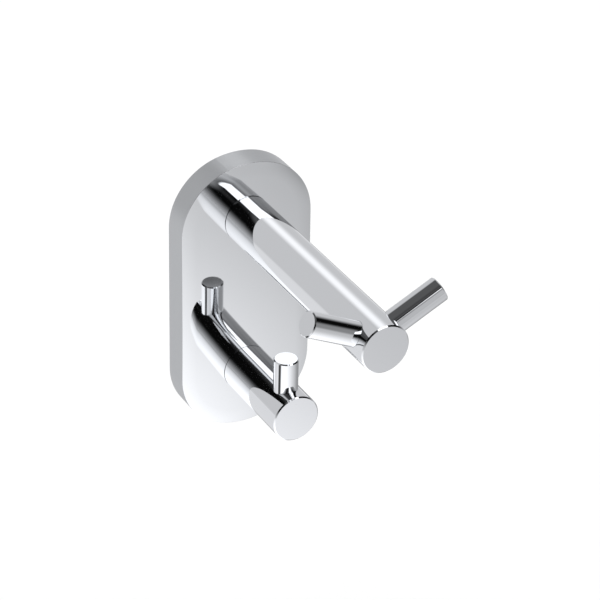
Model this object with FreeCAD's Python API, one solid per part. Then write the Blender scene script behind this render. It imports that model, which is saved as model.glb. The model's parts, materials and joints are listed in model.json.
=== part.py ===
"""Double robe hook: a wall rosette with a long two-peg arm above a short one-peg arm.

Frame: millimetres, +Z up. The wall is the plane y = 0 and the hook reaches out of it
towards -Y, so a depth d from the wall lies at y = -d. The origin is on the wall, at the
middle of the rosette, and +X is to the right of someone who faces the hook.
"""
import FreeCAD
import Part

import math
import os

from FreeCAD import Vector

# Rosette, the cast cover: its outline seen from the front
ROSETTE_WIDTH = 46.0
ROSETTE_HEIGHT = 96.0
END_FLATTENING = 4.0         # radius of each end arc beyond half the width
SHOULDER_TIGHTENING = 1.3    # radius of each shoulder arc short of half the width

# Rosette: its depth and walls
RIM_DEPTH = 9.6              # height of the side wall at the middle of each long side
CROSS_CROWN_RADIUS = 770.0   # the face is bowed from side to side
LONG_CROWN_RADIUS = 2000.0   # and less from top to bottom
FRONT_EDGE_CHAMFER = 0.3
SIDE_WALL = 2.5
FACE_WALL = 3.0              # thickness of the face where it meets the side wall
ARM_SEAT_SINK = 0.37         # depth of an arm's flat seat below the crest of the face

# Arms, turned from round bar
ARM_DIAMETER = 16.0
UPPER_ARM_INSET = 19.5       # from the rosette's top to the upper arm's axis
LOWER_ARM_INSET = 21.0       # from the rosette's bottom to the lower arm's axis
UPPER_REACH = 96.5           # from the wall to the upper arm's end face
LOWER_REACH = 44.0
ARM_EDGE_CHAMFER = 0.4       # at both ends
SPIGOT_DIAMETER = 10.0       # the step behind the arm's shoulder
SPIGOT_LENGTH = 1.2
SPIGOT_FLAT_CUT = 0.8        # depth of each of its two flats, which stop the arm turning

# Pegs, turned pins screwed into the arms
PEG_DIAMETER = 8.0
PEG_EDGE_CHAMFER = 0.35
PEG_SETBACK = 7.5            # from the arm's end face back to the pegs' axes
UPPER_PEG_SPREAD = 64.0      # degrees from upright to each peg of the pair
UPPER_PEG_REACH = 25.0       # from the arm's axis to the peg's tip
LOWER_PEG_REACH = 18.5
PEG_SEAT_MARGIN = 0.5        # a peg's seat lies this far below the lowest point of its rim
PEG_THREAD_DIAMETER = 5.0
PEG_THREAD_STOP = 2.6        # the threaded spigot ends this far from the arm's axis

# Wall bracket, folded from strip
BRACKET_THICKNESS = 1.5
BRACKET_WIDTH = 22.0
BRACKET_CORNER_RADIUS = 3.0
BRACKET_END_GAP = 6.0        # from the cavity's end wall to the fold of the tab
BRACKET_SHOULDER = 2.5       # the full width ends this far short of the fold
BRACKET_BEND_RADIUS = 1.0    # inside the fold
TAB_WIDTH = 14.0
TAB_SPLAY = 15.0             # degrees that each tab leans outwards from square
TAB_FACE_GAP = 0.8           # from a tab's outer tip to the back of the rosette's face
TAB_CORNER_RADIUS = 1.5
WALL_SLOT_ARM_GAP = 14.75    # from each arm's axis to the middle of the slot next to it
WALL_SLOT_WIDTH = 4.6
WALL_SLOT_LENGTH = 6.0
HEAD_RELIEF = 1.0            # radial room round the head of each arm screw

# Arm screws and their split spring washers
ARM_THREAD_DIAMETER = 5.0
ARM_SCREW_LENGTH = 12.0      # under the head
SCREW_HEAD_DIAMETER = 8.5
SCREW_HEAD_HEIGHT = 3.5
SCREW_HEAD_CHAMFER = 0.4
SCREW_END_CHAMFER = 0.6
ARM_SCREW_SOCKET = 3.0       # across the flats of the hexagon
ARM_SCREW_SOCKET_DEPTH = 2.0
WASHER_DIAMETER = 9.2
WASHER_THICKNESS = 1.2
WASHER_SPLIT = 0.8
WASHER_SPLIT_TILT = 25.0

# Lug and boss inside the rosette, and the set screw in its underside
LUG_CHEEK = 1.6              # wall on each side of the upper tab
CHEEK_END_GAP = 1.5          # from the bracket's full width up to the cheeks
FITTING_WALL_GAP = 0.8       # the lug and the boss stop this far from the wall
HANGING_ROOM = 0.6           # spare travel when the rosette is lifted over the tab
BOSS_WIDTH = 9.0
SET_SCREW_DIAMETER = 4.0
SET_SCREW_RECESS = 1.0       # its outer end lies this far inside the rosette's edge
SET_SCREW_CONE = 1.4         # length of the cone point
SET_SCREW_TIP = 0.6          # radius of the cone's blunt tip
SET_SCREW_SOCKET = 2.0
SET_SCREW_SOCKET_DEPTH = 2.2

# Clearances
FIT_CLEARANCE = 0.05         # radial, between a turned part and its seat
THREAD_CLEARANCE = 0.05      # radial, between a screw and its tapped hole
SCREW_HOLE_CLEARANCE = 0.3   # radial, round a screw that passes through
WASHER_CLEARANCE = 0.1       # radial, inside the washer
TAB_SIDE_CLEARANCE = 0.3     # between a tab and the lug's cheeks
END_CLEARANCE = 0.1          # beyond the end of a spigot
TAP_RUNOUT = 2.0             # tapped depth beyond the screw's end
DRILL_POINT = 118.0          # angle of the cone that a drill leaves
CUTTER_OVERRUN = 5.0         # cutters stand this far out of what they cut

# Worked out from the sizes above
HALF_WIDTH = ROSETTE_WIDTH / 2
HALF_HEIGHT = ROSETTE_HEIGHT / 2
CROSS_CROWN_RISE = CROSS_CROWN_RADIUS - math.sqrt(CROSS_CROWN_RADIUS ** 2 - HALF_WIDTH ** 2)
CREST_DEPTH = RIM_DEPTH + CROSS_CROWN_RISE
CAVITY_DEPTH = RIM_DEPTH - FACE_WALL
CAVITY_HALF_HEIGHT = HALF_HEIGHT - SIDE_WALL
ARM_RADIUS = ARM_DIAMETER / 2
ARM_SEAT_DEPTH = CREST_DEPTH - ARM_SEAT_SINK
UPPER_ARM_Z = HALF_HEIGHT - UPPER_ARM_INSET
LOWER_ARM_Z = LOWER_ARM_INSET - HALF_HEIGHT
SPIGOT_FLATS = SPIGOT_DIAMETER - 2 * SPIGOT_FLAT_CUT
PEG_RADIUS = PEG_DIAMETER / 2
PEG_POCKET_RADIUS = PEG_RADIUS + FIT_CLEARANCE
PEG_SEAT = math.sqrt(ARM_RADIUS ** 2 - PEG_POCKET_RADIUS ** 2) - PEG_SEAT_MARGIN
ARM_SCREW_RADIUS = ARM_THREAD_DIAMETER / 2
SCREW_HEAD_RADIUS = SCREW_HEAD_DIAMETER / 2
SCREW_HEAD_DEPTH = CAVITY_DEPTH - WASHER_THICKNESS
SET_SCREW_RADIUS = SET_SCREW_DIAMETER / 2
BRACKET_HALF_HEIGHT = CAVITY_HALF_HEIGHT - BRACKET_END_GAP
BRACKET_BASE_HALF_HEIGHT = BRACKET_HALF_HEIGHT - BRACKET_SHOULDER
FOLD_OUTER_RADIUS = BRACKET_BEND_RADIUS + BRACKET_THICKNESS
SPLAY = math.radians(TAB_SPLAY)
TAB_TIP_DEPTH = CAVITY_DEPTH - TAB_FACE_GAP
TAB_FLAT_START = FOLD_OUTER_RADIUS * math.tan(math.pi / 4 - SPLAY / 2) * math.cos(SPLAY)
SET_SCREW_DEPTH = (TAB_FLAT_START + TAB_TIP_DEPTH) / 2

ORIGIN = Vector(0, 0, 0)
ACROSS = Vector(1, 0, 0)
OUTWARD = Vector(0, -1, 0)
UP = Vector(0, 0, 1)


def at(x, depth, z):
    """Point at a height z and a depth from the wall."""
    return Vector(x, -depth, z)


def tab_face_z(depth):
    """Height of the upper tab's outer face at a depth from the wall."""
    return BRACKET_HALF_HEIGHT + depth * math.tan(SPLAY)


def peg_direction(spread):
    """Unit vector square to the arms, at an angle in degrees from upright."""
    angle = math.radians(spread)
    return Vector(math.sin(angle), 0, math.cos(angle))


def rounded_wire(corners):
    """Closed wire through corners (point, radius), each rounded by a tangent arc."""
    entries, exits, arcs = [], [], []
    for index, (corner, radius) in enumerate(corners):
        before = (corners[index - 1][0] - corner).normalize()
        after = (corners[(index + 1) % len(corners)][0] - corner).normalize()
        half_angle = before.getAngle(after) / 2
        setback = radius / math.tan(half_angle)
        entries.append(corner + before * setback)
        exits.append(corner + after * setback)
        if radius:
            inward = (before + after).normalize()
            middle = corner + inward * (radius / math.sin(half_angle) - radius)
            arcs.append([Part.Arc(entries[-1], middle, exits[-1]).toShape()])
        else:
            arcs.append([])
    edges = []
    for index, arc in enumerate(arcs):
        edges += arc
        edges.append(Part.makeLine(exits[index], entries[(index + 1) % len(corners)]))
    return Part.Wire(edges)


def prism(wire, along):
    """Solid swept straight from a closed flat wire."""
    return Part.Face(wire).extrude(along)


def side_prism(corners, width):
    """Solid centred across X over a side view with corners (depth, z, radius)."""
    wire = rounded_wire([(at(-width / 2, depth, z), radius) for depth, z, radius in corners])
    return prism(wire, ACROSS * width)


def turned(profile):
    """Solid of revolution about Z from the corners (radius, z) of its half section."""
    corners = [Vector(radius, 0, z) for radius, z in profile]
    return Part.Face(Part.makePolygon(corners + corners[:1])).revolve(ORIGIN, UP, 360)


def rod(radius, start, length):
    """Cylinder about Z from z = start."""
    return Part.makeCylinder(radius, length, UP * start)


def hexagon(across_flats, start, height):
    """Hexagonal prism about Z from z = start, to cut a key socket."""
    circumradius = across_flats / math.sqrt(3)
    turns = [math.radians(60 * step) for step in range(6)]
    corners = [Vector(circumradius * math.cos(t), circumradius * math.sin(t), start) for t in turns]
    return prism(rounded_wire([(corner, 0) for corner in corners]), UP * height)


def block(low, high):
    """Box between two opposite corners (x, depth, z)."""
    first, second = at(*low), at(*high)
    corner = Vector(min(first.x, second.x), min(first.y, second.y), min(first.z, second.z))
    size = second - first
    return Part.makeBox(abs(size.x), abs(size.y), abs(size.z), corner)


def aimed(shape, base, direction):
    """Copy of a shape modelled along +Z, moved to base and turned to a direction."""
    placed = shape.copy()
    placed.Placement = FreeCAD.Placement(base, FreeCAD.Rotation(UP, direction))
    return placed


def edges_beyond(shape, depth):
    """Edges that lie wholly further than a depth from the wall."""
    return [edge for edge in shape.Edges if edge.BoundBox.YMax < -depth]


def mirrored_pair(edge, normal):
    """An edge and its mirror image through the origin."""
    return [edge, edge.mirror(ORIGIN, normal)]


def oblong_wire(half_width, half_height):
    """Outline of the rosette: two straight sides, four shoulder arcs and two end arcs."""
    shoulder_radius = half_width - SHOULDER_TIGHTENING
    end_radius = half_width + END_FLATTENING
    rise = math.sqrt((end_radius - shoulder_radius) ** 2 - SHOULDER_TIGHTENING ** 2)
    shoulder_z = half_height - end_radius + rise
    blend = math.atan2(rise, SHOULDER_TIGHTENING)

    def on_shoulder(angle):
        return Vector(SHOULDER_TIGHTENING + shoulder_radius * math.cos(angle), 0,
                      shoulder_z + shoulder_radius * math.sin(angle))

    start, middle, stop = [on_shoulder(angle) for angle in (0, blend / 2, blend)]
    side = Part.makeLine(Vector(start.x, 0, -start.z), start)
    end = Part.Arc(stop, Vector(0, 0, half_height), Vector(-stop.x, 0, stop.z)).toShape()
    upper_shoulders = mirrored_pair(Part.Arc(start, middle, stop).toShape(), ACROSS)
    lower_shoulders = [shoulder.mirror(ORIGIN, UP) for shoulder in upper_shoulders]
    edges = mirrored_pair(side, ACROSS) + mirrored_pair(end, UP) + upper_shoulders + lower_shoulders
    return Part.Wire(Part.sortEdges(edges)[0])


def bowed_slab():
    """Slab larger than the rosette, bowed both ways: a side-to-side arc swept along a longer arc."""
    half = HALF_WIDTH + CUTTER_OVERRUN
    edge_depth = CREST_DEPTH - CROSS_CROWN_RADIUS + math.sqrt(CROSS_CROWN_RADIUS ** 2 - half ** 2)
    corners = [at(x, depth, 0) for x, depth in (
        (half, edge_depth), (half, -CUTTER_OVERRUN), (-half, -CUTTER_OVERRUN), (-half, edge_depth))]
    bow = Part.Arc(corners[-1], at(0, CREST_DEPTH, 0), corners[0]).toShape()
    profile = Part.Face(Part.Wire([bow] + Part.makePolygon(corners).Edges))
    centre = at(0, CREST_DEPTH - LONG_CROWN_RADIUS, 0)
    sweep = math.degrees((ROSETTE_HEIGHT + 2 * CUTTER_OVERRUN) / LONG_CROWN_RADIUS)
    profile.rotate(centre, ACROSS, -sweep / 2)
    return profile.revolve(centre, ACROSS, sweep)


def rosette_body():
    """Solid oblong with a face that is bowed both ways and an eased front edge."""
    outline = prism(oblong_wire(HALF_WIDTH, HALF_HEIGHT), OUTWARD * (CREST_DEPTH + CUTTER_OVERRUN))
    body = outline.common(bowed_slab())
    return body.makeChamfer(FRONT_EDGE_CHAMFER, edges_beyond(body, RIM_DEPTH / 2))


def rosette_cavity():
    """The hollow at the back."""
    return prism(oblong_wire(HALF_WIDTH - SIDE_WALL, CAVITY_HALF_HEIGHT), OUTWARD * CAVITY_DEPTH)


def hanging_lug():
    """Block under the top wall, undercut to the upper tab's slope, with a cheek each side."""
    slot_width = TAB_WIDTH + 2 * TAB_SIDE_CLEARANCE
    half = slot_width / 2 + LUG_CHEEK
    foot = BRACKET_BASE_HALF_HEIGHT + CHEEK_END_GAP
    lug = block((-half, FITTING_WALL_GAP, foot), (half, RIM_DEPTH, HALF_HEIGHT))
    below = foot - CUTTER_OVERRUN
    slot = side_prism([(0, below, 0), (0, tab_face_z(0), 0),
                       (CAVITY_DEPTH, tab_face_z(CAVITY_DEPTH), 0), (CAVITY_DEPTH, below, 0)], slot_width)
    return lug.cut(slot)


def set_screw_boss():
    """Block inside the bottom wall that gives the set screw its thread."""
    lift = tab_face_z(TAB_TIP_DEPTH) - tab_face_z(FITTING_WALL_GAP)
    top = -tab_face_z(TAB_TIP_DEPTH) - lift - HANGING_ROOM
    half = BOSS_WIDTH / 2
    return block((-half, FITTING_WALL_GAP, -HALF_HEIGHT), (half, RIM_DEPTH, top))


def set_screw_hole():
    """Cutter from below the rosette up to the bracket's lower tab."""
    start = at(0, SET_SCREW_DEPTH, -HALF_HEIGHT - CUTTER_OVERRUN)
    length = HALF_HEIGHT + CUTTER_OVERRUN - BRACKET_HALF_HEIGHT
    return Part.makeCylinder(SET_SCREW_RADIUS + THREAD_CLEARANCE, length, start, UP)


def arm_seat():
    """Cutter for one arm, along +Z from the wall: round seat, two-flat recess, screw hole."""
    seat = rod(ARM_RADIUS + FIT_CLEARANCE, ARM_SEAT_DEPTH, CUTTER_OVERRUN)
    recess = two_flat_rod(FIT_CLEARANCE, ARM_SEAT_DEPTH - SPIGOT_LENGTH - END_CLEARANCE, ARM_SEAT_DEPTH)
    hole = rod(ARM_SCREW_RADIUS + SCREW_HOLE_CLEARANCE, 0, ARM_SEAT_DEPTH)
    return seat.fuse([recess, hole])


def two_flat_rod(growth, start, stop):
    """The arm's spigot from z = start to stop, grown on every side by a clearance."""
    radius = SPIGOT_DIAMETER / 2 + growth
    half_flats = SPIGOT_FLATS / 2 + growth
    between = Part.makeBox(2 * half_flats, 2 * radius, stop - start, Vector(-half_flats, -radius, start))
    return rod(radius, start, stop - start).common(between)


def rosette():
    body = rosette_body()
    fittings = body.common(hanging_lug().fuse(set_screw_boss()))
    shell = body.cut(rosette_cavity()).fuse(fittings).cut(set_screw_hole())
    for z in (UPPER_ARM_Z, LOWER_ARM_Z):
        shell = shell.cut(aimed(arm_seat(), at(0, 0, z), OUTWARD))
    return shell.removeSplitter()


def folded_strip():
    """The strip as wide as its tabs, with a splayed tab folded out at each end."""
    tip_z = tab_face_z(TAB_TIP_DEPTH)
    inner_fold_z = BRACKET_HALF_HEIGHT + BRACKET_THICKNESS * (math.tan(SPLAY) - 1 / math.cos(SPLAY))
    inner_tip = (TAB_TIP_DEPTH + BRACKET_THICKNESS * math.sin(SPLAY),
                 tip_z - BRACKET_THICKNESS * math.cos(SPLAY))
    upper_fold = [
        (0, BRACKET_HALF_HEIGHT, FOLD_OUTER_RADIUS),
        (TAB_TIP_DEPTH, tip_z, 0),
        (*inner_tip, 0),
        (BRACKET_THICKNESS, inner_fold_z, BRACKET_BEND_RADIUS),
    ]
    lower_fold = [(depth, -z, radius) for depth, z, radius in reversed(upper_fold)]
    strip = side_prism(upper_fold + lower_fold, TAB_WIDTH)
    tip_corners = [edge for edge in edges_beyond(strip, TAB_TIP_DEPTH - FIT_CLEARANCE)
                   if edge.Length < 2 * BRACKET_THICKNESS]
    return strip.makeFillet(TAB_CORNER_RADIUS, tip_corners)


def bracket_base():
    """Flat plate on the wall, wider than the tabs, with round corners."""
    half = BRACKET_WIDTH / 2
    plate = block((-half, 0, -BRACKET_BASE_HALF_HEIGHT), (half, BRACKET_THICKNESS, BRACKET_BASE_HALF_HEIGHT))
    corners = [edge for edge in plate.Edges if edge.Length < 2 * BRACKET_THICKNESS]
    return plate.makeFillet(BRACKET_CORNER_RADIUS, corners)


def through_wall(radius, z):
    """Round cutter through the bracket at a height z."""
    return aimed(rod(radius, -CUTTER_OVERRUN, 2 * CUTTER_OVERRUN), at(0, 0, z), OUTWARD)


def wall_slot(z):
    """Cutter for an upright slot with round ends."""
    radius = WALL_SLOT_WIDTH / 2
    straight = WALL_SLOT_LENGTH / 2 - radius
    middle = block((-radius, -CUTTER_OVERRUN, z - straight), (radius, CUTTER_OVERRUN, z + straight))
    return middle.fuse([through_wall(radius, z - straight), through_wall(radius, z + straight)])


def wall_bracket():
    cutters = [wall_slot(UPPER_ARM_Z - WALL_SLOT_ARM_GAP), wall_slot(LOWER_ARM_Z + WALL_SLOT_ARM_GAP)]
    cutters += [through_wall(SCREW_HEAD_RADIUS + HEAD_RELIEF, z) for z in (UPPER_ARM_Z, LOWER_ARM_Z)]
    return folded_strip().fuse(bracket_base()).cut(cutters).removeSplitter()


def peg_socket():
    """Cutter for one peg, along +Z from the arm's axis: tapped hole and round seat."""
    stop = PEG_THREAD_STOP - END_CLEARANCE
    tapped = rod(PEG_THREAD_DIAMETER / 2 + THREAD_CLEARANCE, stop, ARM_RADIUS)
    return tapped.fuse(rod(PEG_POCKET_RADIUS, PEG_SEAT, ARM_RADIUS))


def tapped_end():
    """Cutter for the blind hole that takes the arm screw, along +Z from the spigot's end."""
    radius = ARM_SCREW_RADIUS + THREAD_CLEARANCE
    start = -SPIGOT_LENGTH
    screw_end = SCREW_HEAD_DEPTH + ARM_SCREW_LENGTH - ARM_SEAT_DEPTH
    full = screw_end + TAP_RUNOUT
    cone = radius / math.tan(math.radians(DRILL_POINT / 2))
    return turned([(0, start), (radius, start), (radius, full), (0, full + cone)])


def arm(reach, z, peg_spreads):
    """Turned arm from its seat on the rosette out to its end face."""
    length = reach - ARM_SEAT_DEPTH
    bar = turned([
        (0, 0), (ARM_RADIUS - ARM_EDGE_CHAMFER, 0), (ARM_RADIUS, ARM_EDGE_CHAMFER),
        (ARM_RADIUS, length - ARM_EDGE_CHAMFER), (ARM_RADIUS - ARM_EDGE_CHAMFER, length), (0, length),
    ])
    blank = bar.fuse(two_flat_rod(0, -SPIGOT_LENGTH, 0)).cut(tapped_end())
    placed = aimed(blank, at(0, ARM_SEAT_DEPTH, z), OUTWARD)
    peg_foot = at(0, reach - PEG_SETBACK, z)
    sockets = [aimed(peg_socket(), peg_foot, peg_direction(spread)) for spread in peg_spreads]
    return placed.cut(sockets).removeSplitter()


def peg(arm_reach, arm_z, spread, peg_reach):
    """Turned pin, from the end of its threaded spigot inside the arm to its tip."""
    thread = PEG_THREAD_DIAMETER / 2
    pin = turned([
        (0, PEG_THREAD_STOP), (thread, PEG_THREAD_STOP), (thread, PEG_SEAT), (PEG_RADIUS, PEG_SEAT),
        (PEG_RADIUS, peg_reach - PEG_EDGE_CHAMFER), (PEG_RADIUS - PEG_EDGE_CHAMFER, peg_reach),
        (0, peg_reach),
    ])
    return aimed(pin, at(0, arm_reach - PEG_SETBACK, arm_z), peg_direction(spread))


def arm_screw(z):
    """Low cap screw with a hexagon socket, from behind the rosette's face."""
    screw = turned([
        (0, -SCREW_HEAD_HEIGHT), (SCREW_HEAD_RADIUS - SCREW_HEAD_CHAMFER, -SCREW_HEAD_HEIGHT),
        (SCREW_HEAD_RADIUS, SCREW_HEAD_CHAMFER - SCREW_HEAD_HEIGHT), (SCREW_HEAD_RADIUS, 0),
        (ARM_SCREW_RADIUS, 0), (ARM_SCREW_RADIUS, ARM_SCREW_LENGTH - SCREW_END_CHAMFER),
        (ARM_SCREW_RADIUS - SCREW_END_CHAMFER, ARM_SCREW_LENGTH), (0, ARM_SCREW_LENGTH),
    ])
    socket = hexagon(ARM_SCREW_SOCKET, -SCREW_HEAD_HEIGHT, ARM_SCREW_SOCKET_DEPTH)
    return aimed(screw.cut(socket), at(0, SCREW_HEAD_DEPTH, z), OUTWARD)


def lock_washer(z):
    """Split spring washer, clamped flat under the arm screw's head."""
    outer = WASHER_DIAMETER / 2
    ring = rod(outer, 0, WASHER_THICKNESS).cut(rod(ARM_SCREW_RADIUS + WASHER_CLEARANCE, 0, WASHER_THICKNESS))
    reach = WASHER_DIAMETER
    split = Part.makeBox(reach, WASHER_SPLIT, reach, Vector(0, -WASHER_SPLIT / 2, -reach / 2))
    split.rotate(Vector(0, 0, WASHER_THICKNESS / 2), ACROSS, WASHER_SPLIT_TILT)
    return aimed(ring.cut(split), at(0, SCREW_HEAD_DEPTH, z), OUTWARD)


def set_screw():
    """Headless screw whose cone point bears on the bracket's lower tab."""
    outer_z = SET_SCREW_RECESS - HALF_HEIGHT
    tip_z = -tab_face_z(SET_SCREW_DEPTH + SET_SCREW_TIP)
    length = tip_z - outer_z
    screw = turned([
        (0, 0), (SET_SCREW_RADIUS, 0), (SET_SCREW_RADIUS, length - SET_SCREW_CONE),
        (SET_SCREW_TIP, length), (0, length),
    ])
    socket = hexagon(SET_SCREW_SOCKET, 0, SET_SCREW_SOCKET_DEPTH)
    return aimed(screw.cut(socket), at(0, SET_SCREW_DEPTH, outer_z), UP)


def pieces():
    """Every separate piece of the hook by the name of its node."""
    hook = {
        "rosette": rosette(),
        "wall_bracket": wall_bracket(),
        "upper_arm": arm(UPPER_REACH, UPPER_ARM_Z, (-UPPER_PEG_SPREAD, UPPER_PEG_SPREAD)),
        "lower_arm": arm(LOWER_REACH, LOWER_ARM_Z, (0,)),
        "upper_left_peg": peg(UPPER_REACH, UPPER_ARM_Z, -UPPER_PEG_SPREAD, UPPER_PEG_REACH),
        "upper_right_peg": peg(UPPER_REACH, UPPER_ARM_Z, UPPER_PEG_SPREAD, UPPER_PEG_REACH),
        "lower_peg": peg(LOWER_REACH, LOWER_ARM_Z, 0, LOWER_PEG_REACH),
        "set_screw": set_screw(),
    }
    for place, z in (("upper", UPPER_ARM_Z), ("lower", LOWER_ARM_Z)):
        hook[f"{place}_arm_screw"] = arm_screw(z)
        hook[f"{place}_lock_washer"] = lock_washer(z)
    return hook


def main():
    os.makedirs("parts", exist_ok=True)
    for name, shape in pieces().items():
        shape.exportStep(f"parts/{name}.step")
        print(name, "valid" if shape.isValid() else "NOT VALID", len(shape.Solids), "solid")


main()
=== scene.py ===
"""Looks of the double robe hook: mirror chrome in a soft white studio, seen from the photograph's side.

Everything is in metres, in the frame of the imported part: the wall is the plane y = 0, the hook reaches
out towards -Y, +Z is up and +X is to the right of someone who faces it.
"""

import json
import math

import bpy
from mathutils import Matrix, Vector
from mathutils.geometry import delaunay_2d_cdt


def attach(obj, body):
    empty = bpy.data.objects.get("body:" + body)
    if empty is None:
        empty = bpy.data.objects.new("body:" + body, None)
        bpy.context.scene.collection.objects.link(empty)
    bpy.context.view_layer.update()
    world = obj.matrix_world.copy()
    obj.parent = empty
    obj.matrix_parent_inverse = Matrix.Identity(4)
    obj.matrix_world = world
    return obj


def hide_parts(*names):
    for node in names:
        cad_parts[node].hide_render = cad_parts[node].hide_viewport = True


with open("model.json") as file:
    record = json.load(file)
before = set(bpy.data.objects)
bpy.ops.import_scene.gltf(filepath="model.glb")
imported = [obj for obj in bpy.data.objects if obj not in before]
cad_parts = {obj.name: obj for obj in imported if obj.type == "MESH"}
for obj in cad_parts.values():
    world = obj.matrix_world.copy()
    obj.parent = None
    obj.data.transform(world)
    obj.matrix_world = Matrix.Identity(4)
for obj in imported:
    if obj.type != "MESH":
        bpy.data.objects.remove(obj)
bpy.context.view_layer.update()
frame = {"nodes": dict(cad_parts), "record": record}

# Camera, from a fit of the part's edges to the photograph.
CAMERA_PLACE = Vector((-0.352215, -0.672731, 0.452974))
CAMERA_AZIMUTH = math.radians(29.281)
CAMERA_DROP = math.radians(31.166)
CAMERA_ROLL = math.radians(1.284)
SENSOR_WIDTH = 36.0
FOCAL_LENGTH = 163.75
CLIP_START = 0.01
CLIP_END = 20.0

# Floor, well below the hook, as if it hung on a stand. Its glow shows to the camera alone.
FLOOR_LEVEL = -0.12
FLOOR_HALF_WIDTH = 3.0
FLOOR_GREY = 0.88
FLOOR_GLOW = 0.16

# Levels of light, where 1 is white, and the tint of the studio that the chrome mirrors.
BACKGROUND_LEVEL = 1.0
ROOM_LEVEL = 1.0
STUDIO_TINT = (0.985, 0.990, 1.012)

# Soft cards that stand round the hook and show in the chrome, painted in this order over one another.
# Each has the azimuth and elevation of its middle, its half width and half height and the width of its
# soft edge, all in degrees, and its brightness. Azimuth 0 is straight out from the wall, and counts up
# towards +X.
WALLS_LEVEL = 0.62
CARDS = (
    ("ceiling", 0, 90, 400, 42, 12, 0.10),
    ("front_arch", 8, 29, 96, 25, 34, 0.003),
    ("front_window", 11, -10, 26, 37, 20, 0.53),
    ("right_flag", 50, 0, 14, 16, 16, 0.26),
    ("overhead_bank", 20.5, 47.4, 25.5, 16, 2.5, 1.55),
    ("back_glow", 160, 38, 12, 12, 20, 1.12),
)

# The floor as the chrome shows it, as a painted glow: brightest under the hook, dimmer further out,
# plain behind the wall, and clear beyond its end, where the studio shows instead.
FLOOR_FAR_LEVEL = 0.56
FLOOR_NEAR_RISE = 0.72
FLOOR_FALL_OFF = 0.21
FLOOR_BACK_AZIMUTHS = (80.0, 120.0)
FLOOR_BACK_LEVEL = 0.79
FLOOR_END = (0.5, 2.0)

# Patches of that floor's painted glow. Each has the azimuth of its middle, its half width and the width
# of its soft edge in degrees, the radii at which it starts and ends fading, and its brightness. The
# sweep's is added to the floor as painted light, the others are painted over it in this order as painted
# shade, and the right flag fades inwards.
LEFT_SWEEP = (-36, 34, 76, (0.3, 0.9), 0.44)
FLOOR_PATCHES = (
    ("right_shade", 105, 58, 80, (0.25, 0.6), 0.33),
    ("right_flag", 50, 14, 16, (0.45, 0.30), 0.26),
    ("left_flag", -75, 12, 12, FLOOR_END, 0.06),
)

# Face of the rosette, bowed both ways as the solid is.
CREST_DEPTH = 0.009944
CROSS_CROWN_RADIUS = 0.770
LONG_CROWN_RADIUS = 2.0

# What tells the solid's face and bevel from the rest: the depth at which they start, and how much their
# normals point to the front at least. The seats of the arms are left as they are.
FACE_START = -0.0088
FACE_LEAN = 0.3
ARM_AXES = (0.0285, -0.027)
ARM_SEAT_RADIUS = 0.0079

# The rim, rolled over by the polishing: the width of the roll and its slope at the rim, the small radius
# of the edge itself, and how far inside the rim the rings of points lie, the last one on the plain face.
ROLL_WIDTH = 0.0050
ROLL_SLOPE = 0.075
RIM_EDGE_RADIUS = 0.0001
RIM_EDGE_STEPS = 3
ROLL_RINGS = (0.0005, 0.0010, 0.0016, 0.0023, 0.0031, 0.0040, 0.0050, 0.0060)

# Points of the plain face: how far apart, and how far from the rings and seats at least.
FACE_GRID_STEP = 0.004
FACE_GRID_MARGIN = 0.0017

# Points closer together than this are one point.
WELD_STEP = 1e-7

# The kind of triangulation that leaves out what lies outside the borders.
INSIDE_BORDERS = 1

# Where the rosette changes its finish, each change being soft. Its side wall is only brushed before
# plating, and its colour is painted darker there as painted shade. It starts at some distance from an
# upright line of a certain half height in the rosette's middle, and ends where the surface turns to the
# front or the back. The hollow keeps the cast skin, and starts at some depth.
MIDLINE_HALF_HEIGHT = 0.025
WALL_START = (0.0213, 0.0217)
WALL_FACING = (0.15, 0.45)
HOLLOW_START = (-0.0078, -0.0070)

CHROME_COLOUR = (0.86, 0.87, 0.885)
FACE_COLOUR = (0.83, 0.84, 0.852)
# The side wall's colour is darker than the face's: painted shade.
SHADED_WALL_COLOUR = (0.58, 0.59, 0.60)
CAST_COLOUR = (0.60, 0.61, 0.62)
BRACKET_COLOUR = (0.62, 0.62, 0.60)
SCREW_COLOUR = (0.55, 0.55, 0.54)

# Roughness of each finish, at its least and at its most.
CHROME_ROUGHNESS = (0.015, 0.05)
WALL_ROUGHNESS = (0.30, 0.36)
CAST_ROUGHNESS = (0.45, 0.60)
BRACKET_ROUGHNESS = (0.28, 0.42)
SCREW_ROUGHNESS = (0.22, 0.34)

# Noises that vary the finishes. Each has its scale, its detail and its roughness.
HAZE_NOISE = (90.0, 3.0, 0.5)
RIPPLE_NOISE = (70.0, 1.0, 0.5)
BRUSHED_NOISE = (1800.0, 2.0, 0.5)
SKIN_NOISE = (1300.0, 3.0, 0.6)
STEEL_NOISE = (1.0, 4.0, 0.6)

# The values of a noise between which a finish goes from its least roughness to its most.
HAZE_SPAN = (0.3, 0.8)
ROSETTE_SPAN = (0.3, 0.7)
STEEL_SPAN = (0.25, 0.75)

# How fine the steel's grain is along each axis.
BRACKET_GRAIN_SCALE = (2600.0, 2600.0, 160.0)
SCREW_GRAIN_SCALE = (900.0, 900.0, 900.0)

# Heights of the surfaces' relief.
CHROME_RIPPLE = 0.00001
WALL_GRAIN = 0.000004
CAST_GRAIN = 0.00006
STEEL_GRAIN = 0.00001


def grey(level):
    return (level, level, level, 1.0)


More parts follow.
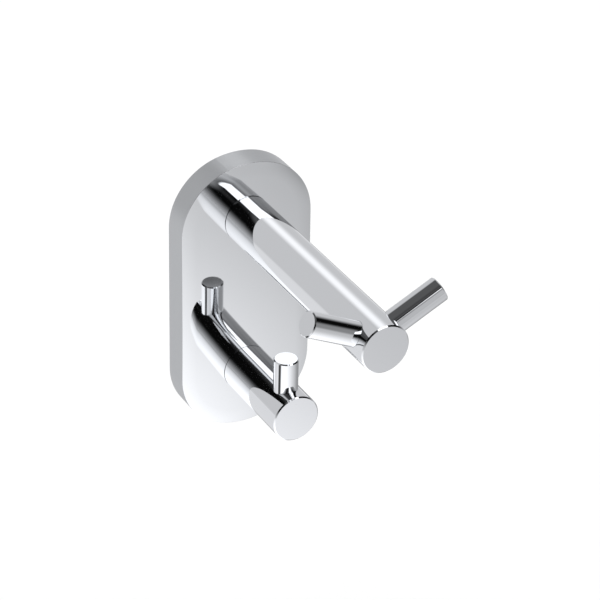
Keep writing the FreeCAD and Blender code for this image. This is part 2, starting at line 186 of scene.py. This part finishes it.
class Graph:
    """Adds nodes to one node tree, and links what it is given to their inputs."""

    def __init__(self, tree):
        self.tree = tree
        tree.nodes.clear()

    def add(self, kind, inputs=(), **settings):
        """Adds a node, sets it up, and then gives its inputs their values or links."""
        node = self.tree.nodes.new(kind)
        for name, value in settings.items():
            setattr(node, name, value)
        for key, value in dict(inputs).items():
            self.put(node.inputs[key], value)
        return node

    def put(self, socket, value):
        if isinstance(value, bpy.types.NodeSocket):
            self.tree.links.new(value, socket)
        else:
            socket.default_value = value

    def math(self, operation, *values):
        return self.add("ShaderNodeMath", enumerate(values), operation=operation).outputs[0]

    def ramp(self, value, low, high, to_low=0.0, to_high=1.0):
        """A smooth step from to_low to to_high as value goes from low to high."""
        inputs = {0: value, 1: low, 2: high, 3: to_low, 4: to_high}
        return self.add("ShaderNodeMapRange", inputs, interpolation_type="SMOOTHSTEP").outputs[0]

    # A mix node keeps numbers at its inputs 2 and 3, and colours at its inputs 6 and 7 and its output 2.
    def mix(self, share, first, second):
        """A number that goes from first to second as share goes from 0 to 1."""
        return self.add("ShaderNodeMix", {0: share, 2: first, 3: second}).outputs[0]

    def colour_mix(self, share, first, second, blend="MIX"):
        inputs = {0: share, 6: first, 7: second}
        return self.add("ShaderNodeMix", inputs, data_type="RGBA", blend_type=blend).outputs[2]

    def shader_mix(self, share, first, second):
        return self.add("ShaderNodeMixShader", {0: share, 1: first, 2: second}).outputs[0]

    def split(self, vector):
        return self.add("ShaderNodeSeparateXYZ", {0: vector}).outputs

    def noise(self, place, scale, detail, roughness):
        inputs = {"Vector": place, "Scale": scale, "Detail": detail, "Roughness": roughness}
        return self.add("ShaderNodeTexNoise", inputs).outputs[0]

    def azimuth(self, x, y):
        """Degrees from -Y towards +X."""
        return self.math("DEGREES", self.math("ARCTAN2", x, self.math("MULTIPLY", y, -1.0)))

    def wrapped(self, angle):
        """An angle brought back to between -180 and 180 degrees."""
        return self.math("WRAP", angle, -180.0, 180.0)

    def patch(self, distance, half, soft):
        """Falls smoothly from 1 to 0 across an edge of width soft that lies at the distance half."""
        inner = max(half - soft / 2, 0.0)
        return self.ramp(self.math("ABSOLUTE", distance), inner, half + soft / 2, 1.0, 0.0)

    def tinted(self, brightness):
        """A brightness as a colour in the studio's tint."""
        return self.colour_mix(1.0, brightness, (*STUDIO_TINT, 1.0), "MULTIPLY")

    def mirrored(self, light_path):
        """1 for a ray that a surface mirrors or lets through, and 0 for others."""
        return self.math("MAXIMUM", light_path["Is Glossy Ray"], light_path["Is Transmission Ray"])


def add_object(name, data):
    added = bpy.data.objects.new(name, data)
    bpy.context.scene.collection.objects.link(added)
    return added


def studio_brightness(graph, direction):
    """The brightness that a mirror sees in a direction."""
    x, y, z = graph.split(direction)
    azimuth = graph.azimuth(x, y)
    elevation = graph.math("DEGREES", graph.math("ARCSINE", z))
    level = WALLS_LEVEL
    for _, across, up, half_width, half_height, soft, brightness in CARDS:
        aside = graph.wrapped(graph.math("SUBTRACT", azimuth, across))
        above = graph.math("SUBTRACT", elevation, up)
        wide = graph.patch(aside, half_width, soft)
        tall = graph.patch(above, half_height, soft)
        level = graph.mix(graph.math("MULTIPLY", wide, tall), level, brightness)
    return level


def make_world():
    """White for the camera, the studio for what the chrome mirrors, and even light for the rest."""
    world = bpy.data.worlds.new("studio")
    bpy.context.scene.world = world
    world.use_nodes = True
    graph = Graph(world.node_tree)
    light_path = graph.add("ShaderNodeLightPath").outputs
    direction = graph.add("ShaderNodeTexCoord").outputs["Generated"]
    studio = graph.tinted(studio_brightness(graph, direction))
    room = graph.colour_mix(graph.mirrored(light_path), grey(ROOM_LEVEL), studio)
    seen = graph.colour_mix(light_path["Is Camera Ray"], room, grey(BACKGROUND_LEVEL))
    background = graph.add("ShaderNodeBackground", {"Color": seen, "Strength": 1.0}).outputs[0]
    graph.add("ShaderNodeOutputWorld", {"Surface": background})


def make_camera():
    data = bpy.data.cameras.new("camera")
    data.sensor_width = SENSOR_WIDTH
    data.lens = FOCAL_LENGTH
    data.clip_start = CLIP_START
    data.clip_end = CLIP_END
    camera = add_object("camera", data)
    forward = math.cos(CAMERA_DROP)
    ahead = Vector((
        forward * math.sin(CAMERA_AZIMUTH),
        forward * math.cos(CAMERA_AZIMUTH),
        -math.sin(CAMERA_DROP),
    ))
    right = ahead.cross(Vector((0.0, 0.0, 1.0))).normalized()
    up = right.cross(ahead)
    turned_right = right * math.cos(CAMERA_ROLL) + up * math.sin(CAMERA_ROLL)
    turned_up = up * math.cos(CAMERA_ROLL) - right * math.sin(CAMERA_ROLL)
    placed = Matrix((turned_right, turned_up, -ahead)).transposed().to_4x4()
    placed.translation = CAMERA_PLACE
    camera.matrix_world = placed
    bpy.context.scene.camera = camera


def new_material(name):
    material = bpy.data.materials.new(name)
    material.use_nodes = True
    return material, Graph(material.node_tree)


def finish_material(graph, surface):
    graph.add("ShaderNodeOutputMaterial", {"Surface": surface})


def patch_share(graph, azimuth, radius, middle, half, soft, end):
    """1 inside one sector of the floor, fading out at its sides and between two radii."""
    aside = graph.wrapped(graph.math("SUBTRACT", azimuth, middle))
    return graph.math("MULTIPLY", graph.patch(aside, half, soft), graph.ramp(radius, *end, 1.0, 0.0))


def painted_floor_glow(graph, x, y, radius):
    """The painted glow that the chrome sees of the floor at a place."""
    azimuth = graph.azimuth(x, y)
    spread = graph.math("POWER", graph.math("DIVIDE", radius, FLOOR_FALL_OFF), 2.0)
    fading = graph.math("EXPONENT", graph.math("MULTIPLY", spread, -1.0))
    level = graph.math("ADD", FLOOR_FAR_LEVEL, graph.math("MULTIPLY", fading, FLOOR_NEAR_RISE))
    *sector, rise = LEFT_SWEEP
    sweep = patch_share(graph, azimuth, radius, *sector)
    level = graph.math("ADD", level, graph.math("MULTIPLY", sweep, rise))
    behind = graph.ramp(graph.math("ABSOLUTE", azimuth), *FLOOR_BACK_AZIMUTHS)
    level = graph.mix(behind, level, FLOOR_BACK_LEVEL)
    for _, *sector, brightness in FLOOR_PATCHES:
        level = graph.mix(patch_share(graph, azimuth, radius, *sector), level, brightness)
    return level


def make_floor():
    """A pale floor. The chrome sees a painted glow on it, brightest under the hook, and the studio beyond
    it.
    """
    half = FLOOR_HALF_WIDTH
    mesh = bpy.data.meshes.new("floor")
    corners = [(x * half, y * half, FLOOR_LEVEL) for x, y in ((-1, -1), (1, -1), (1, 1), (-1, 1))]
    mesh.from_pydata(corners, [], [(0, 1, 2, 3)])
    floor = add_object("floor", mesh)
    material, graph = new_material("pale_floor")
    light_path = graph.add("ShaderNodeLightPath").outputs
    matt = graph.add("ShaderNodeBsdfDiffuse", {"Color": grey(FLOOR_GREY)}).outputs[0]
    strength = graph.math("MULTIPLY", light_path["Is Camera Ray"], FLOOR_GLOW)
    glow = graph.add("ShaderNodeEmission", {"Color": grey(1.0), "Strength": strength}).outputs[0]
    plain = graph.add("ShaderNodeAddShader", {0: matt, 1: glow}).outputs[0]
    x, y, _ = graph.split(graph.add("ShaderNodeTexCoord").outputs["Object"])
    squares = [graph.math("MULTIPLY", length, length) for length in (x, y)]
    radius = graph.math("SQRT", graph.math("ADD", *squares))
    shown = graph.tinted(painted_floor_glow(graph, x, y, radius))
    # Painted light and shade on the floor, which only mirrored rays see.
    painted_floor_light = graph.add("ShaderNodeEmission", {"Color": shown, "Strength": 1.0}).outputs[0]
    clear = graph.add("ShaderNodeBsdfTransparent").outputs[0]
    ending = graph.shader_mix(graph.ramp(radius, *FLOOR_END), painted_floor_light, clear)
    finish_material(graph, graph.shader_mix(graph.mirrored(light_path), plain, ending))
    mesh.materials.append(material)


def crown(x, z):
    """How far the bowed face stands out at a place, and its slopes in x and z."""
    across = math.sqrt(CROSS_CROWN_RADIUS ** 2 - x ** 2)
    longest = LONG_CROWN_RADIUS - CROSS_CROWN_RADIUS + across
    along = math.sqrt(longest ** 2 - z ** 2)
    depth = CREST_DEPTH - LONG_CROWN_RADIUS + along
    return depth, -longest * x / (along * across), -z / along


def face_point(x, z, inset, outward):
    """A point of the face that far inside the rim, which faces outward there, and its normal."""
    depth, slope_x, slope_z = crown(x, z)
    left = max(ROLL_WIDTH - inset, 0.0)
    lean = ROLL_SLOPE * left / ROLL_WIDTH
    place = Vector((x, lean * left / 2 - depth, z))
    normal = Vector((-slope_x + lean * outward.x, -1.0, -slope_z + lean * outward.z)).normalized()
    return place, normal


class Shell:
    """Collects the polygons of one mesh, with a normal for each of their corners."""

    def __init__(self):
        self.places = []
        self.numbers = {}
        self.polygons = []
        self.normals = []

    def point(self, place):
        """The number of a point of the mesh, which is added if it is new."""
        key = tuple(round(value / WELD_STEP) for value in place)
        if key not in self.numbers:
            self.numbers[key] = len(self.places)
            self.places.append(place.copy())
        return self.numbers[key]

    def polygon(self, corners):
        """Adds one polygon from pairs of place and normal."""
        self.polygons.append([self.point(place) for place, _ in corners])
        self.normals.extend(normal for _, normal in corners)

    def strip(self, lower, upper):
        """Quads between two closed rings of the same length. The first joins the rings' two ends."""
        for index in range(len(lower)):
            before = index - 1
            self.polygon([lower[before], lower[index], upper[index], upper[before]])

    def build(self, name):
        mesh = bpy.data.meshes.new(name)
        mesh.from_pydata(self.places, [], self.polygons)
        mesh.shade_smooth()
        mesh.normals_split_custom_set(self.normals)
        return add_object(name, mesh)


def clear_of_seats(x, z):
    return all(math.hypot(x, z - axis) > ARM_SEAT_RADIUS for axis in ARM_AXES)


def is_face(polygon, places):
    """Whether a polygon of the solid belongs to the bowed face or the bevel round it."""
    in_front = max(place.y for place in places) < FACE_START and polygon.normal.y < -FACE_LEAN
    return in_front and clear_of_seats(polygon.center.x, polygon.center.z)


def closed_rings(edges):
    """Sorts directed border edges into closed rings of points, the longest ring first."""
    following = dict(edges)
    rings = []
    while following:
        start, point = following.popitem()
        ring = [start]
        while point != start:
            ring.append(point)
            point = following.pop(point)
        rings.append(ring)
    return sorted(rings, key=len, reverse=True)


def carry_over(shell, mesh):
    """Copies the solid's mesh but for its face. Returns the face's border, and the side wall's normals."""
    edges = set()
    side_normals = {}
    for polygon in mesh.polygons:
        places = [mesh.vertices[index].co for index in polygon.vertices]
        normals = [mesh.corner_normals[index].vector.copy() for index in polygon.loop_indices]
        if is_face(polygon, places):
            numbers = [shell.point(place) for place in places]
            edges.update(zip(numbers, numbers[1:] + numbers[:1]))
        else:
            shell.polygon(list(zip(places, normals)))
            for number, normal in zip(shell.polygons[-1], normals):
                if abs(normal.y) < FACE_LEAN:
                    side_normals[number] = normal
    return [edge for edge in edges if edge[::-1] not in edges], side_normals


def roll_rings(rim):
    """Rings of points and normals from the top of the side wall, over the rim, to the plain face."""
    rings = [rim]
    for step in range(RIM_EDGE_STEPS + 1):
        turn = math.pi / 2 * step / RIM_EDGE_STEPS
        inset = RIM_EDGE_RADIUS * (1 - math.cos(turn))
        ring = []
        for place, outward in rim:
            edge = place - outward * inset
            point, normal = face_point(edge.x, edge.z, RIM_EDGE_RADIUS, outward)
            point.y += RIM_EDGE_RADIUS * (1 - math.sin(turn))
            ring.append((point, (outward * math.cos(turn) + normal * math.sin(turn)).normalized()))
        rings.append(ring)
    for inset in ROLL_RINGS:
        rings.append([face_point(*(place - outward * inset).xz, inset, outward) for place, outward in rim])
    return rings


def fill_face(shell, borders):
    """Triangles of the plain face between its borders, which keep the points that they have."""
    known = [place for border in borders for place in border]
    points = [place.xz for place in known]
    edges = []
    for border in borders:
        first = len(edges)
        edges += [(first + index, first + (index + 1) % len(border)) for index in range(len(border))]
    columns = int(max(point.x for point in points) / FACE_GRID_STEP)
    rows = int(max(point.y for point in points) / FACE_GRID_STEP)
    for column in range(-columns, columns + 1):
        for row in range(-rows, rows + 1):
            point = Vector((column * FACE_GRID_STEP, row * FACE_GRID_STEP))
            if min((point - other).length for other in points[:len(known)]) > FACE_GRID_MARGIN:
                points.append(point)
    spots, _, triangles, sources, *_ = delaunay_2d_cdt(points, edges, [], INSIDE_BORDERS, WELD_STEP)
    no_rim = Vector((0.0, 0.0, 0.0))
    corners = [face_point(*spot, ROLL_WIDTH, no_rim) for spot in spots]
    for number, source in enumerate(sources):
        if source and source[0] < len(known):
            corners[number] = (known[source[0]], corners[number][1])
    for triangle in triangles:
        middle = sum((spots[index] for index in triangle), Vector((0.0, 0.0))) / len(triangle)
        if clear_of_seats(*middle):
            shell.polygon([corners[index] for index in triangle])


def finish_metal(graph, colour, roughness, relief):
    """Ends a bare metal's material. The relief is its height."""
    bump = graph.add("ShaderNodeBump", {"Height": relief, "Strength": 1.0, "Distance": 1.0}).outputs[0]
    inputs = {"Base Color": colour, "Metallic": 1.0, "Roughness": roughness, "Normal": bump}
    finish_material(graph, graph.add("ShaderNodeBsdfPrincipled", inputs).outputs[0])


def mirror_finish(graph, place):
    """Roughness and relief of buffed plating: nearly a mirror, with a faint haze and unevenness."""
    roughness = graph.ramp(graph.noise(place, *HAZE_NOISE), *HAZE_SPAN, *CHROME_ROUGHNESS)
    relief = graph.math("MULTIPLY", graph.noise(place, *RIPPLE_NOISE), CHROME_RIPPLE)
    return roughness, relief


def chrome():
    material, graph = new_material("polished_chrome")
    place = graph.add("ShaderNodeTexCoord").outputs["Object"]
    finish_metal(graph, (*CHROME_COLOUR, 1.0), *mirror_finish(graph, place))
    return material


def rosette_chrome():
    """A mirror on the face, satin with painted shade round the side wall, and the skin of the casting in
    the hollow.
    """
    material, graph = new_material("rosette_chrome")
    coordinates = graph.add("ShaderNodeTexCoord").outputs
    place = coordinates["Object"]
    x, y, z = graph.split(place)
    _, facing, _ = graph.split(coordinates["Normal"])
    beyond = graph.math("SUBTRACT", graph.math("ABSOLUTE", z), MIDLINE_HALF_HEIGHT)
    beyond = graph.math("MAXIMUM", beyond, 0.0)
    squares = [graph.math("MULTIPLY", length, length) for length in (x, beyond)]
    outer = graph.ramp(graph.math("SQRT", graph.math("ADD", *squares)), *WALL_START)
    sideways = graph.ramp(graph.math("ABSOLUTE", facing), *WALL_FACING, 1.0, 0.0)
    wall = graph.math("MULTIPLY", outer, sideways)
    hollow = graph.math("MULTIPLY", graph.math("SUBTRACT", 1.0, outer), graph.ramp(y, *HOLLOW_START))
    roughness, relief = mirror_finish(graph, place)
    brushed = graph.noise(place, *BRUSHED_NOISE)
    skin = graph.noise(place, *SKIN_NOISE)
    # The side wall takes the darker colour, which is painted shade.
    colour = graph.colour_mix(wall, (*FACE_COLOUR, 1.0), (*SHADED_WALL_COLOUR, 1.0))
    colour = graph.colour_mix(hollow, colour, (*CAST_COLOUR, 1.0))
    roughness = graph.mix(wall, roughness, graph.ramp(brushed, *ROSETTE_SPAN, *WALL_ROUGHNESS))
    roughness = graph.mix(hollow, roughness, graph.ramp(skin, *ROSETTE_SPAN, *CAST_ROUGHNESS))
    relief = graph.mix(wall, relief, graph.math("MULTIPLY", brushed, WALL_GRAIN))
    relief = graph.mix(hollow, relief, graph.math("MULTIPLY", skin, CAST_GRAIN))
    finish_metal(graph, colour, roughness, relief)
    return material


def steel(name, colour, roughness, grain_scale):
    """Satin steel with a fine grain."""
    material, graph = new_material(name)
    place = graph.add("ShaderNodeTexCoord").outputs["Object"]
    drawn = graph.add("ShaderNodeMapping", {"Vector": place, "Scale": grain_scale}).outputs[0]
    grain = graph.noise(drawn, *STEEL_NOISE)
    relief = graph.math("MULTIPLY", grain, STEEL_GRAIN)
    finish_metal(graph, (*colour, 1.0), graph.ramp(grain, *STEEL_SPAN, *roughness), relief)
    return material


def dress(materials):
    """Gives every CAD node the material of its slot."""
    for part in frame["record"]["subparts"]:
        mesh = frame["nodes"][part["node"]].data
        mesh.materials.clear()
        mesh.materials.append(materials[part["material_slot"]])


def make_rosette():
    """The rosette with a finely meshed face whose rim is rolled over, as polishing leaves it."""
    shell = Shell()
    border, side_normals = carry_over(shell, frame["nodes"]["rosette"].data)
    outer, *seats = closed_rings(border)
    rings = roll_rings([(shell.places[number], side_normals[number]) for number in outer])
    for lower, upper in zip(rings, rings[1:]):
        shell.strip(lower, upper)
    innermost = [place for place, _ in rings[-1]]
    fill_face(shell, [innermost] + [[shell.places[number] for number in seat] for seat in seats])
    piece = shell.build("rosette_shell")
    piece.data.materials.append(rosette_chrome())
    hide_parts("rosette")
    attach(piece, "root")


make_world()
make_camera()
make_floor()
dress({
    "polished_chrome": chrome(),
    "bracket_steel": steel("bracket_steel", BRACKET_COLOUR, BRACKET_ROUGHNESS, BRACKET_GRAIN_SCALE),
    "screw_steel": steel("screw_steel", SCREW_COLOUR, SCREW_ROUGHNESS, SCREW_GRAIN_SCALE),
})
make_rosette()
bpy.context.scene.view_settings.view_transform = "Standard"
